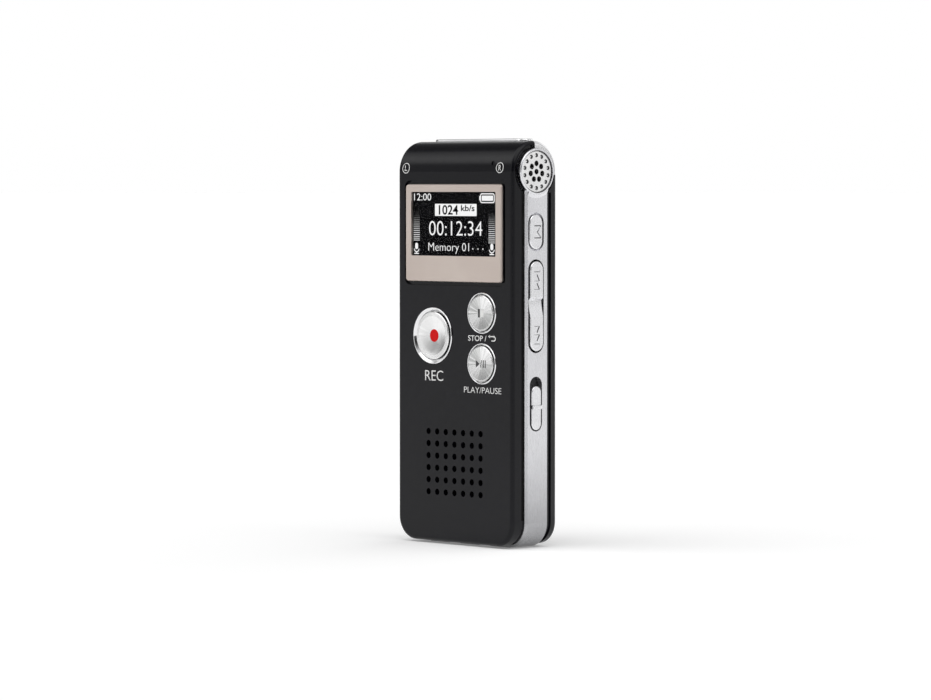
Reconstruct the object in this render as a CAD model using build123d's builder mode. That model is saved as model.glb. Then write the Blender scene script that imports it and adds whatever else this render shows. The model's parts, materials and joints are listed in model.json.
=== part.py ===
from build123d import *
import os

# Handheld voice recorder. It stands upright: +Z runs up its length, the front face looks towards -Y,
# and the side controls are on +X. The origin is the middle of the flat base. All sizes are in mm.

os.makedirs("parts", exist_ok=True)

# ---- casing ----
height = 95.0             # base to the top of the jack land
thickness = 14.3          # front face to back face
cover_width = 39.2        # across the two black covers
wall = 1.2                # cover wall
rim_r = 0.9               # rounding round the edge of each cover
corner_r = 5.4            # bottom corners of the covers, seen from the front
nose_z = 87.3             # axis of the half-round top, which the microphone heads share
frame_step = 0.4          # how far the mid frame stands out beyond the sides of the covers
base_step = 0.6           # and below them
frame_front_y = -3.15     # its front and back edges
frame_back_y = 4.1
frame_wall = 1.4
frame_chamfer = 0.5
seam_width = 1.1          # shadow groove between a cover and the frame
seam_depth = 0.4
seam_high = 82.45         # the groove runs up into the one round the microphone head
cap_z = 86.6              # lower edge of the silver top cap at the back

half_w = cover_width / 2
half_t = thickness / 2
frame_half_w = half_w + frame_step
inner_y = half_t - wall   # inner face of the front and back walls
tall = 2 * height         # taller than the recorder, for cutters that run out through the top

# ---- feet: three thin pads let into the base, which the recorder stands on ----
foot_places = (-10.2, 0, 10.2)
foot_y = (frame_front_y + frame_back_y) / 2
foot_long = 6.4
foot_wide = 5.4
foot_thick = 0.5
foot_proud = 0.12         # so the frame's own underside is this far above the table

# ---- microphone heads ----
head_r = 5.4
head_proud = 0.5
head_rim_round = 0.3
head_skirt = 0.7          # sloping foot of the head on the frame, out along the frame
head_skirt_tall = 0.35
head_bore_r = 4.95
head_inner_x = 17.6
head_face_x = frame_half_w + head_proud
head_groove_r = 6.35      # shadow groove round the head
head_groove_depth = 0.8
head_hole_r = 5.5
grille_r = 4.85
grille_thick = 0.8
grille_sink = 0.35
grille_hole_r = 0.66      # one in the middle and a ring of seven
grille_hole_ring_r = 1.9
grille_hole_count = 7
grille_dimple_r = 0.5     # an outer ring of fourteen blind ones
grille_dimple_ring_r = 3.8
grille_dimple_count = 14
grille_dimple_depth = 0.3
boot_r = 4.85
boot_x = 15.6
capsule_r = 3.0
capsule_long = 2.7
capsule_gap = 0.1         # behind the capsule, in its boot
boot_floor = 0.8
pin_r = 0.25
pin_pitch = 2.54
pin_long = 2.4

# ---- jack land on the top ----
land_long = 31.1
land_wide = 4.5
land_y = 2.3
land_round = 0.35
jack_x = 6.5
plug_hole_r = 1.8
plug_hole_long = 3.0
nozzle_r = 2.1
nozzle_gap = 0.05
nozzle_room = 4.0         # depth of the counterbore that takes the nozzle
jack_width = 6.0
jack_top = 89.0
jack_low = 80.4
jack_deep = 5.6

# ---- display ----
bezel_width = 32.66
bezel_tall = 22.86
bezel_z = 73.03
bezel_thick = 0.65
bezel_proud = 0.5
bezel_bevel = 0.4         # width of the bevel round its edge
bezel_bevel_drop = 0.15
bezel_corner_r = 0.9
bezel_groove = 0.85       # width of the shadow groove round the bezel
bezel_groove_depth = 0.6
view_width = 28.9
view_tall = 14.97
view_z = 75.14
view_corner_r = 0.3
display_hole_width = 31.2
display_hole_tall = 21.3
fit_gap = 0.1             # side gap of the window and panel in their holes
window_thick = 0.5
window_sink = 0.05
panel_thick = 1.4
panel_step = 0.1          # the panel's glass stands up behind the window
holder_width = 25.8
holder_tall = 19.0
holder_wall = 1.0
air_gap = 0.05            # between faces that are stacked without touching

# ---- front buttons: the places are x and z ----
rec_place = (-7.3, 48.9)
stop_place = (9.3, 54.5)
play_place = (9.3, 42.73)
rec_ring_r = 6.65
rec_hole_r = 5.85
rec_cap_r = 5.6
small_ring_r = 4.8
small_hole_r = 4.43
small_cap_r = 4.15
rec_ring_proud = 0.3
small_ring_proud = 0.12
ring_seat = 0.7
rec_cap_proud = 0.35
rec_cap_rim = 0.95        # width of the flat and bevel round the dish
rec_dish_drop = 0.75
small_cap_proud = 0.45
small_cap_rim = 0.35
small_dish_drop = 0.2
cap_bevel = 0.22
icon_depth = 0.15         # the stop and play marks sunk in their caps
stop_mark = 2.0
play_mark_tall = 1.8
rec_dot_r = 1.5
rec_dot_proud = 0.12
rec_dot_sunk = 0.35
flange_lip = 0.7          # flange radius beyond the cap
flange_thick = 0.5
stem_r = 2.0
tact_size = 6.0
tact_tall = 3.5
tact_bore_r = 1.85
tact_plunger_r = 1.7
plunger_proud = 0.5
plunger_long = 2.0

# ---- circuit board, in the middle of the thickness ----
board_front_y = -1.0
board_back_y = 0.0
board_half_w = 15.4
board_low = 3.0
board_high = 91.0
board_notch_x = 13.2      # the side switches stand against the board here

# ---- speaker ----
speaker_z = 19.3
speaker_r = 10.0
speaker_hole_r = 0.74
speaker_pitch_x = 2.97
speaker_pitch_z = 2.84
speaker_columns = 7
speaker_rows = 6
mesh_thick = 0.15
gasket_thick = 0.4
speaker_lip = 1.2         # the frame of the speaker, and the gasket on it
pocket_gap = 0.2
pocket_wall = 0.8
pocket_end_y = -3.6

# ---- side controls on +X ----
menu_z = 73.4
menu_slot = (8.96, 5.0)   # length, width
seek_z = 56.2
seek_slot = (21.7, 5.0)
power_z = 33.55
power_slot = (12.7, 3.9)
side_gap = 0.45
mark_line = 0.24          # engraved marks on the side controls
mark_depth = 0.15
menu_proud = 0.12
seek_proud = 0.4
seek_end_gap = 0.45
valley_top = seek_z + 2.6
valley_low = seek_z - 2.9
valley_deep = 0.8
seek_axis_x = 17.6
seek_pin_r = 0.5
seek_pin_half = 3.0
lug_x = 16.7              # the lugs that carry the rocker's pin
lug_y = 2.5
lug_thick = 0.6
seek_running_gap = 0.06
seek_hub_r = 1.1
knob_long = 10.2
knob_proud = 0.25
knob_z = 32.6
knob_travel = 2.0
switch_half_y = 1.75      # the three switches on the board behind these controls
menu_switch_x = 15.9
seek_switch_x = 16.0
power_switch_x = 16.4
switch_slot_x = 14.2      # bottom of the openings in the switches
lever_end_x = 14.6        # the levers of the seek and power switches reach in this far
menu_plunger_end_x = 14.9

# ---- screws: four, driven from the back ----
screw_places = ((13.4, 6.5), (-13.4, 6.5), (13.4, 60.6), (-13.4, 60.6))
boss_r = 1.6
back_boss_r = 1.65
pilot_r = 0.62
pilot_end_y = -5.0
shank_r = 0.6
shank_hole_r = 0.8
screw_head_r = 1.3
screw_head_tall = 0.9
screw_sink_r = 1.5
screw_seat_y = 5.9

# ---- status light beside the R mark ----
light_place = (12.8, 89.3)
light_hole_r = 0.5
light_guide_r = 0.7

# ---- USB socket on -X ----
usb_z = 38.0
usb_y = 1.35
usb_long = 7.6
usb_deep = 2.7
usb_wall = 0.3
usb_cavity = 4.6          # depth of the socket behind its mouth
usb_mouth_x = -(frame_half_w - 0.4)
usb_end_x = -14.0

# ---- leads of the speaker and the battery ----
lead_r = 0.3
lead_bend = 1.0

# ---- battery ----
battery_half_w = 13.0
battery_low = 12.0
battery_high = 52.0
battery_front_y = 0.9
battery_back_y = 5.3


# ---- shapes that several pieces share ----
def span_box(x0, x1, y0, y1, z0, z1, mode=Mode.ADD):
    """A box between two corners, added to the piece that is being made."""
    with Locations(((x0 + x1) / 2, (y0 + y1) / 2, (z0 + z1) / 2)):
        Box(x1 - x0, y1 - y0, z1 - z0, mode=mode)


def disc_y(x, z, radius, y0, y1, mode=Mode.ADD):
    """A cylinder along Y from y0 to y1."""
    with Locations(Location((x, (y0 + y1) / 2, z), (90, 0, 0))):
        Cylinder(radius, y1 - y0, mode=mode)


def disc_x(y, z, radius, x0, x1, mode=Mode.ADD):
    """A cylinder along X from x0 to x1."""
    with Locations(Location(((x0 + x1) / 2, y, z), (0, 90, 0))):
        Cylinder(radius, x1 - x0, mode=mode)


def casing(inset, rim):
    """The whole casing's shape, drawn in by inset, with its edge rounded by rim."""
    low = base_step + inset
    with BuildPart() as body:
        with BuildSketch(Plane.YZ):
            with Locations((0, (nose_z + low) / 2)):
                Rectangle(thickness - 2 * inset, nose_z - low)
            with Locations((0, nose_z)):
                Circle(half_t - inset)
        extrude(amount=half_w - inset, both=True)
        fillet(body.edges().filter_by(Axis.Y).group_by(Axis.Z)[0], corner_r - inset)
        if rim > 0:
            faces = body.edges().group_by(Axis.Y)
            straight = ShapeList(faces[0] + faces[-1])
            flat_rim = straight.filter_by(lambda edge: edge.center().Z < nose_z - 1)
            nose_rim = body.edges().filter_by(lambda edge: edge.center().Z > nose_z + 1)
            nose_rim = nose_rim.filter_by(GeomType.CIRCLE)
            fillet(flat_rim + nose_rim, rim)
    return body.part


def seam_groove(start_y, side):
    """Cutter for the shadow groove beside the mid frame, from start_y towards side -1 (front) or 1 (back)."""
    with BuildPart() as groove:
        with BuildSketch(Plane.XZ.offset(-start_y)):
            with Locations((0, seam_high / 2)):
                Rectangle(cover_width + 2, seam_high)
            with Locations((0, base_step + seam_depth + tall / 2)):
                RectangleRounded(
                    cover_width - 2 * seam_depth, tall, corner_r - seam_depth, mode=Mode.SUBTRACT
                )
        extrude(amount=-side * seam_width)
    return groove.part


def head_skirts():
    """Sloping foot round the lower half of each head, on the outside of the frame."""
    with BuildPart() as skirts:
        for side in (1, -1):
            foot_x = side * (frame_half_w + head_skirt_tall / 2)
            with Locations(Location((foot_x, 0, nose_z), (0, side * 90, 0))):
                Cone(head_r + head_skirt, head_r, head_skirt_tall)
        span_box(
            -tall, tall, frame_front_y + frame_chamfer, frame_back_y - frame_chamfer, 0, nose_z,
            mode=Mode.INTERSECT,
        )
    return skirts.part


def cut_head_openings():
    """The holes that both microphone heads pass through."""
    for side in (1, -1):
        inner, outer = sorted((side * (half_w - 2 * wall), side * (half_w + 1)))
        disc_x(0, nose_z, head_hole_r, inner, outer, mode=Mode.SUBTRACT)


def cut_head_grooves():
    """The shadow groove round both microphone heads."""
    for side in (1, -1):
        inner, outer = sorted((side * (half_w - head_groove_depth), side * (half_w + 1)))
        disc_x(0, nose_z, head_groove_r, inner, outer, mode=Mode.SUBTRACT)


# ---- front cover: the black shell, over the half-round top as far as its crest ----
with BuildPart() as front_cover:
    add(casing(0, rim_r))
    with BuildSketch(Plane.YZ):
        with Locations((frame_front_y - thickness / 2, height / 2)):
            Rectangle(thickness, height + 2)
        with Locations((-thickness / 2, nose_z + thickness / 2)):
            Rectangle(thickness, thickness)
    extrude(amount=cover_width, both=True, mode=Mode.INTERSECT)
    add(casing(wall, 0), mode=Mode.SUBTRACT)
    for x, z in screw_places:
        disc_y(x, z, boss_r, -inner_y - wall / 2, board_front_y)
        disc_y(x, z, pilot_r, pilot_end_y, board_front_y, mode=Mode.SUBTRACT)
    disc_y(0, speaker_z, speaker_r + pocket_gap + pocket_wall, -inner_y - wall / 2, pocket_end_y)
    disc_y(0, speaker_z, speaker_r + pocket_gap, -inner_y, pocket_end_y, mode=Mode.SUBTRACT)
    add(seam_groove(frame_front_y, -1), mode=Mode.SUBTRACT)
    cut_head_openings()
    cut_head_grooves()
    # display pocket and hole
    with BuildSketch(Plane.XZ.offset(half_t)):
        with Locations((0, bezel_z)):
            RectangleRounded(bezel_width + 2 * air_gap, bezel_tall + 2 * air_gap, bezel_corner_r)
    extrude(amount=-(bezel_thick - bezel_proud), mode=Mode.SUBTRACT)
    with BuildSketch(Plane.XZ.offset(half_t)):
        with Locations((0, bezel_z)):
            RectangleRounded(
                bezel_width + 2 * bezel_groove, bezel_tall + 2 * bezel_groove, bezel_corner_r + bezel_groove
            )
            RectangleRounded(
                bezel_width + 2 * air_gap, bezel_tall + 2 * air_gap, bezel_corner_r, mode=Mode.SUBTRACT
            )
    extrude(amount=-bezel_groove_depth, mode=Mode.SUBTRACT)
    with BuildSketch(Plane.XZ.offset(half_t)):
        with Locations((0, bezel_z)):
            RectangleRounded(display_hole_width, display_hole_tall, bezel_corner_r)
    extrude(amount=-2 * wall, mode=Mode.SUBTRACT)
    # button holes, each with a seat for its ring
    for (x, z), ring_r, hole_r in (
        (rec_place, rec_ring_r, rec_hole_r),
        (stop_place, small_ring_r, small_hole_r),
        (play_place, small_ring_r, small_hole_r),
    ):
        disc_y(x, z, hole_r, -half_t - 1, -inner_y + 1, mode=Mode.SUBTRACT)
        disc_y(x, z, ring_r + air_gap, -half_t - 1, -half_t + ring_seat, mode=Mode.SUBTRACT)
    # speaker holes
    with BuildSketch(Plane.XZ.offset(half_t)):
        with Locations((0, speaker_z)):
            with GridLocations(speaker_pitch_x, speaker_pitch_z, speaker_columns, speaker_rows):
                Circle(speaker_hole_r)
    extrude(amount=-2 * wall, mode=Mode.SUBTRACT)
    disc_y(*light_place, light_hole_r, -half_t - 1, -inner_y + 3, mode=Mode.SUBTRACT)

# ---- back cover ----
with BuildPart() as back_cover:
    add(casing(0, rim_r))
    with BuildSketch(Plane.YZ):
        with Locations((frame_back_y + thickness / 2, cap_z / 2)):
            Rectangle(thickness, cap_z)
    extrude(amount=cover_width, both=True, mode=Mode.INTERSECT)
    add(casing(wall, 0), mode=Mode.SUBTRACT)
    for x, z in screw_places:
        disc_y(x, z, back_boss_r, board_back_y, inner_y + wall / 2)
        disc_y(x, z, shank_hole_r, board_back_y - 1, half_t + 1, mode=Mode.SUBTRACT)
        disc_y(x, z, screw_sink_r, screw_seat_y, half_t + 1, mode=Mode.SUBTRACT)
    add(seam_groove(frame_back_y, 1), mode=Mode.SUBTRACT)
    cut_head_openings()
    cut_head_grooves()

# ---- mid frame: one silver band down both sides and round the base, with a round head at each top end ----
with BuildPart() as mid_frame:
    with BuildSketch(Plane.XZ.offset(-frame_back_y)):
        with Locations((0, foot_proud + tall / 2)):
            RectangleRounded(2 * frame_half_w, tall, corner_r + frame_step)
        with Locations((0, frame_wall + tall / 2)):
            RectangleRounded(
                2 * (frame_half_w - frame_wall), tall, corner_r + frame_step - frame_wall, mode=Mode.SUBTRACT
            )
        with Locations((0, nose_z + tall / 2)):
            Rectangle(tall, tall, mode=Mode.SUBTRACT)
    extrude(amount=frame_back_y - frame_front_y)
    outer_loop = mid_frame.edges().filter_by(
        lambda edge: abs(edge.center().X) > frame_half_w - 0.01
        or edge.center().Z < foot_proud + 0.01
        or (edge.geom_type == GeomType.CIRCLE and edge.radius > corner_r + frame_step - 0.01)
    )
    outer_loop = outer_loop.filter_by(
        lambda edge: min(abs(edge.center().Y - frame_front_y), abs(edge.center().Y - frame_back_y)) < 0.01
    )
    outer_loop = outer_loop.filter_by(lambda edge: edge.center().Z < nose_z - 1)
    chamfer(outer_loop, frame_chamfer)
    for side in (1, -1):
        inner, outer = sorted((side * head_inner_x, side * head_face_x))
        disc_x(0, nose_z, head_r, inner, outer)
    head_edges = mid_frame.edges().filter_by(
        lambda edge: edge.geom_type == GeomType.CIRCLE
        and abs(edge.radius - head_r) < 0.01
        and abs(abs(edge.center().X) - head_face_x) < 0.01
    )
    fillet(head_edges, head_rim_round)
    add(head_skirts())
    with BuildSketch(Plane.XY):
        with Locations(*[(x, foot_y) for x in foot_places]):
            Rectangle(foot_long + 2 * air_gap, foot_wide + 2 * air_gap)
    extrude(amount=foot_thick + air_gap, mode=Mode.SUBTRACT)
    for side in (1, -1):
        inner, outer = sorted((side * (head_inner_x - 1), side * (head_face_x + 1)))
        disc_x(0, nose_z, head_bore_r, inner, outer, mode=Mode.SUBTRACT)
    # lugs that hold the seek rocker's pin
    for y in (lug_y, -lug_y - lug_thick):
        span_box(lug_x, frame_half_w - frame_wall + 0.2, y, y + lug_thick, seek_z - 1.0, seek_z + 1.0)
    disc_y(seek_axis_x, seek_z, seek_pin_r + 0.01, frame_front_y, frame_back_y, mode=Mode.SUBTRACT)
    for z, (slot_long, slot_wide) in ((menu_z, menu_slot), (seek_z, seek_slot), (power_z, power_slot)):
        with BuildSketch(Plane.YZ.offset(frame_half_w - frame_wall - 0.1)):
            with Locations((0, z)):
                SlotOverall(slot_long, slot_wide, rotation=90)
        extrude(amount=frame_wall + 1, mode=Mode.SUBTRACT)
    with BuildSketch(Plane.YZ.offset(-frame_half_w + frame_wall + 0.1)):
        with Locations((usb_y, usb_z)):
            RectangleRounded(usb_deep + 0.5, usb_long + 0.5, 0.9)
    extrude(amount=-(frame_wall + 1), mode=Mode.SUBTRACT)

# ---- feet ----
with BuildPart() as base_feet:
    with BuildSketch(Plane.XY):
        with Locations(*[(x, foot_y) for x in foot_places]):
            Rectangle(foot_long, foot_wide)
    extrude(amount=foot_thick)

# ---- top cap: the silver quarter behind the crest, with a raised land for two jacks ----
with BuildPart() as top_cap:
    add(casing(0, rim_r))
    with BuildSketch(Plane.YZ):
        with Locations((thickness / 2, nose_z + thickness / 2)):
            Rectangle(thickness, thickness)
        with Locations((frame_back_y + thickness / 2, cap_z + thickness / 2)):
            Rectangle(thickness, thickness)
    extrude(amount=cover_width, both=True, mode=Mode.INTERSECT)
    with BuildSketch(Plane.XY.offset(height)):
        with Locations((0, land_y)):
            SlotOverall(land_long, land_wide)
    extrude(amount=-(height - nose_z - half_t / 2))
    land_rim = top_cap.faces().sort_by(Axis.Z)[-1].edges()
    fillet(land_rim, land_round)
    add(casing(wall, 0), mode=Mode.SUBTRACT)
    cut_head_openings()
    with BuildSketch(Plane.XY.offset(height)):
        with Locations((jack_x, land_y), (-jack_x, land_y)):
            Circle(plug_hole_r)
    extrude(amount=-(plug_hole_long + 0.5), mode=Mode.SUBTRACT)
    with BuildSketch(Plane.XY.offset(height - plug_hole_long)):
        with Locations((jack_x, land_y), (-jack_x, land_y)):
            Circle(nozzle_r + nozzle_gap)
    extrude(amount=-nozzle_room, mode=Mode.SUBTRACT)


# ---- microphones, one at each end of the half-round top ----
pin_y = board_front_y - pin_r - air_gap   # the capsules' pins lie on the front of the board


def microphone_grille(side):
    """Perforated disc: one hole in the middle, a ring of holes and an outer ring of blind dimples."""
    face_x = head_face_x - grille_sink
    with BuildPart() as grille:
        with BuildSketch(Plane.YZ.offset(side * face_x)):
            with Locations((0, nose_z)):
                Circle(grille_r)
                Circle(grille_hole_r, mode=Mode.SUBTRACT)
                with PolarLocations(grille_hole_ring_r, grille_hole_count, start_angle=90):
                    Circle(grille_hole_r, mode=Mode.SUBTRACT)
        extrude(amount=-side * grille_thick)
        with BuildSketch(Plane.YZ.offset(side * face_x)):
            with Locations((0, nose_z)):
                with PolarLocations(grille_dimple_ring_r, grille_dimple_count, start_angle=90):
                    Circle(grille_dimple_r)
        extrude(amount=-side * grille_dimple_depth, mode=Mode.SUBTRACT)
    return grille


def microphone_boot(side):
    """Rubber cup that holds the capsule and seals it behind the grille."""
    outer_x = head_face_x - grille_sink - grille_thick - air_gap
    with BuildPart() as boot:
        with BuildSketch(Plane.YZ.offset(side * boot_x)):
            with Locations((0, nose_z)):
                Circle(boot_r)
        extrude(amount=side * (outer_x - boot_x))
        with BuildSketch(Plane.YZ.offset(side * (boot_x + boot_floor))):
            with Locations((0, nose_z)):
                Circle(capsule_r + air_gap)
        extrude(amount=side * (outer_x - boot_x), mode=Mode.SUBTRACT)
        with BuildSketch(Plane.YZ.offset(side * boot_x)):
            with Locations((pin_y, nose_z)):
                with GridLocations(1, pin_pitch, 1, 2):
                    Circle(pin_r + air_gap)
        extrude(amount=side * boot_floor, mode=Mode.SUBTRACT)
    return boot


def microphone_capsule(side):
    """Electret capsule with its two pins, which lie on the front of the board."""
    rear_x = boot_x + boot_floor + capsule_gap
    with BuildPart() as capsule:
        with BuildSketch(Plane.YZ.offset(side * rear_x)):
            with Locations((0, nose_z)):
                Circle(capsule_r)
        extrude(amount=side * capsule_long)
        front = capsule.faces().filter_by(Axis.X).sort_by(Axis.X)[-1 if side > 0 else 0]
        fillet(front.edges(), 0.3)
        with BuildSketch(Plane.YZ.offset(side * (rear_x + 0.2))):
            with Locations((pin_y, nose_z)):
                with GridLocations(1, pin_pitch, 1, 2):
                    Circle(pin_r)
        extrude(amount=-side * (pin_long + 0.2))
    return capsule


# ---- display ----
with BuildPart() as display_bezel:
    with BuildSketch(Plane.XZ.offset(half_t + bezel_proud)):
        with Locations((0, bezel_z)):
            RectangleRounded(bezel_width, bezel_tall, bezel_corner_r)
    extrude(amount=-bezel_thick)
    front_face = display_bezel.faces().sort_by(Axis.Y)[0]
    chamfer(front_face.edges(), bezel_bevel_drop, bezel_bevel, reference=front_face)
    with BuildSketch(Plane.XZ.offset(half_t + bezel_proud)):
        with Locations((0, view_z)):
            RectangleRounded(view_width, view_tall, view_corner_r)
    extrude(amount=-bezel_thick, mode=Mode.SUBTRACT)

window_back_y = -half_t - bezel_proud + window_sink + window_thick
with BuildPart() as display_window:
    with BuildSketch(Plane.XZ.offset(-window_back_y)):
        with Locations((0, view_z)):
            RectangleRounded(view_width - fit_gap, view_tall - fit_gap, view_corner_r)
    extrude(amount=window_thick)

bezel_back_y = -half_t - bezel_proud + bezel_thick
panel_front_y = bezel_back_y + air_gap
panel_back_y = panel_front_y + panel_thick
with BuildPart() as display_panel:
    with BuildSketch(Plane.XZ.offset(-panel_front_y)):
        with Locations((0, bezel_z)):
            RectangleRounded(
                display_hole_width - 2 * fit_gap, display_hole_tall - 2 * fit_gap, bezel_corner_r - fit_gap
            )
    extrude(amount=-panel_thick)
    with BuildSketch(Plane.XZ.offset(-panel_front_y)):
        with Locations((0, view_z)):
            RectangleRounded(view_width - 2 * fit_gap, view_tall - 2 * fit_gap, view_corner_r)
    extrude(amount=panel_step)

holder_front_y = panel_back_y + air_gap
with BuildPart() as display_holder:
    with BuildSketch(Plane.XZ.offset(-holder_front_y)):
        with Locations((0, bezel_z)):
            RectangleRounded(holder_width, holder_tall, 1.5)
            RectangleRounded(
                holder_width - 2 * holder_wall, holder_tall - 2 * holder_wall, 0.8, mode=Mode.SUBTRACT
            )
    extrude(amount=-(board_front_y - holder_front_y))

connector_high = 60.2
with BuildPart() as display_connector:
    span_box(-6.5, 2.5, board_front_y - 1.2, board_front_y, connector_high - 2.6, connector_high)
    chamfer(display_connector.faces().sort_by(Axis.Y)[0].edges(), 0.2)

panel_low = bezel_z - display_hole_tall / 2 + fit_gap
flex_thick = 0.15
flex_y = panel_back_y - 0.15
with BuildPart() as display_flex:
    with BuildSketch(Plane.YZ.offset(-6.0)):
        with BuildLine():
            FilletPolyline(
                (flex_y, panel_low),
                (flex_y, panel_low - 1.2),
                (board_front_y - 0.6, panel_low - 1.2),
                (board_front_y - 0.6, connector_high),
                radius=0.35,
            )
        trace(line_width=flex_thick)
    extrude(amount=8.0)
    span_box(-7, 3, -half_t, 0, panel_low, panel_low + 1, mode=Mode.SUBTRACT)
    span_box(-7, 3, -half_t, 0, connector_high - 1, connector_high, mode=Mode.SUBTRACT)


# ---- front buttons ----
tact_top_y = board_front_y - tact_tall - plunger_proud   # tip of a plunger at rest


def button_ring(place, outer_r, inner_r, proud):
    """Bright ring whose face slopes inwards, so that the cap sits in a shallow funnel."""
    x, z = place
    with BuildPart() as ring:
        with BuildSketch(Plane(origin=(x, -half_t, z), x_dir=(1, 0, 0), z_dir=(0, 0, 1))):
            with BuildLine():
                Polyline(
                    (inner_r, ring_seat),
                    (inner_r, 0.1),
                    (outer_r - 0.25, -proud),
                    (outer_r - 0.1, -proud),
                    (outer_r, -proud + 0.12),
                    (outer_r, ring_seat),
                    close=True,
                )
            make_face()
        revolve(axis=Axis((x, 0, z), (0, 1, 0)))
    return ring


def button_cap(place, cap_r, proud, rim, drop):
    """Pressed cap: a raised rim round a shallow dish, a flange behind the cover and a stem."""
    x, z = place
    dish_r = cap_r - rim
    flange_y = wall + 0.1
    with BuildPart() as cap:
        with BuildSketch(Plane(origin=(x, -half_t, z), x_dir=(1, 0, 0), z_dir=(0, 0, 1))):
            with BuildLine():
                dish = ThreePointArc(
                    (0, -proud + drop),
                    (dish_r * 0.55, -proud + drop * 0.7),
                    (dish_r, -proud),
                )
                Polyline(
                    dish @ 1,
                    (cap_r - cap_bevel, -proud),
                    (cap_r, -proud + cap_bevel),
                    (cap_r, flange_y),
                    (cap_r + flange_lip, flange_y),
                    (cap_r + flange_lip, flange_y + flange_thick),
                    (stem_r, flange_y + flange_thick),
                    (stem_r, tact_top_y + half_t),
                    (0, tact_top_y + half_t),
                    dish @ 0,
                )
            make_face()
        revolve(axis=Axis((x, 0, z), (0, 1, 0)))
    return cap.part


rec_floor_y = -half_t - rec_cap_proud + rec_dish_drop
with BuildPart() as rec_cap:
    add(button_cap(rec_place, rec_cap_r, rec_cap_proud, rec_cap_rim, rec_dish_drop))
    disc_y(*rec_place, rec_dot_r, -half_t - 1, rec_floor_y + rec_dot_sunk, mode=Mode.SUBTRACT)

with BuildPart() as rec_dot:
    disc_y(*rec_place, rec_dot_r - 0.01, rec_floor_y - rec_dot_proud, rec_floor_y + rec_dot_sunk)
    fillet(rec_dot.faces().sort_by(Axis.Y)[0].edges(), 0.1)

with BuildPart() as stop_cap:
    add(button_cap(stop_place, small_cap_r, small_cap_proud, small_cap_rim, small_dish_drop))
    with BuildSketch(Plane.XZ.offset(half_t + small_cap_proud)):
        with Locations(stop_place):
            Rectangle(stop_mark, stop_mark)
    extrude(amount=-(small_dish_drop + icon_depth), mode=Mode.SUBTRACT)

# a triangle, a stroke and two bars
with BuildPart() as play_cap:
    add(button_cap(play_place, small_cap_r, small_cap_proud, small_cap_rim, small_dish_drop))
    with BuildSketch(Plane.XZ.offset(half_t + small_cap_proud)):
        x, z = play_place
        with BuildLine():
            Polyline(
                (x - 1.7, z - play_mark_tall / 2),
                (x - 0.4, z),
                (x - 1.7, z + play_mark_tall / 2),
                close=True,
            )
        make_face()
        with BuildLine():
            Polyline(
                (x - 0.35, z - play_mark_tall / 2),
                (x - 0.1, z - play_mark_tall / 2),
                (x + 0.4, z + play_mark_tall / 2),
                (x + 0.15, z + play_mark_tall / 2),
                close=True,
            )
        make_face()
        with Locations((x + 0.8, z), (x + 1.5, z)):
            Rectangle(0.35, play_mark_tall)
    extrude(amount=-(small_dish_drop + icon_depth), mode=Mode.SUBTRACT)


def tact_switch(place):
    """Square tactile switch on the front of the board, open at the top for its plunger."""
    x, z = place
    half = tact_size / 2
    with BuildPart() as switch:
        span_box(x - half, x + half, board_front_y - tact_tall, board_front_y, z - half, z + half)
        disc_y(x, z, tact_bore_r, board_front_y - tact_tall, board_front_y - 1.6, mode=Mode.SUBTRACT)
    return switch


def tact_plunger(place):
    """Round plunger that stands out of a tact switch."""
    x, z = place
    with BuildPart() as plunger:
        disc_y(x, z, tact_plunger_r, tact_top_y, tact_top_y + plunger_long)
    return plunger


# ---- menu button and its switch ----
wall_inner_x = frame_half_w - frame_wall
menu_flange_x = 17.75
side_plunger_tip_x = 16.7
with BuildPart() as menu_button:
    with BuildSketch(Plane.YZ.offset(wall_inner_x - 0.1)):
        with Locations((0, menu_z)):
            SlotOverall(menu_slot[0] - 2 * side_gap, menu_slot[1] - 2 * side_gap, rotation=90)
    extrude(amount=frame_wall + 0.1 + menu_proud)
    fillet(menu_button.faces().sort_by(Axis.X)[-1].edges(), 0.3)
    # the engraved M lies on its side, its top towards the back
    with BuildSketch(Plane.YZ.offset(frame_half_w + menu_proud)):
        with BuildLine():
            FilletPolyline(
                (-0.6, menu_z - 1.4),
                (1.6, menu_z - 1.4),
                (0.3, menu_z),
                (1.6, menu_z + 1.4),
                (-0.6, menu_z + 1.4),
                radius=0.15,
            )
        trace(line_width=mark_line)
    extrude(amount=-mark_depth, mode=Mode.SUBTRACT)
    with BuildSketch(Plane.YZ.offset(menu_flange_x)):
        with Locations((0, menu_z)):
            SlotOverall(menu_slot[0] + 0.7, menu_slot[1] + 0.7, rotation=90)
    extrude(amount=wall_inner_x - 0.1 - menu_flange_x)
    disc_x(0, menu_z, 1.3, side_plunger_tip_x, menu_flange_x)

with BuildPart() as menu_switch:
    span_box(board_notch_x, menu_switch_x, -switch_half_y, switch_half_y, menu_z - 3, menu_z + 3)
    disc_x(0, menu_z, 1.0, switch_slot_x, menu_switch_x + 0.1, mode=Mode.SUBTRACT)

with BuildPart() as menu_plunger:
    disc_x(0, menu_z, 0.85, menu_plunger_end_x, side_plunger_tip_x)

# ---- seek rocker: it tips about a pin across the frame and carries the lever of a three-way switch ----
seek_face_x = frame_half_w + seek_proud
seek_half_y = seek_slot[1] / 2 - side_gap


def skip_mark(z, way):
    """Two triangles and a bar sunk in the rocker's face, pointing up (way 1) or down (way -1)."""
    with BuildPart() as mark:
        with BuildSketch(Plane.YZ.offset(seek_face_x)):
            for foot, tip in ((-2.35, -0.6), (-0.4, 1.35)):
                with BuildLine():
                    Polyline((-0.95, z + way * foot), (0.95, z + way * foot), (0, z + way * tip), close=True)
                make_face()
            with Locations((0, z + way * 1.9)):
                Rectangle(1.9, 0.35)
        extrude(amount=-mark_depth)
    return mark.part


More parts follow.
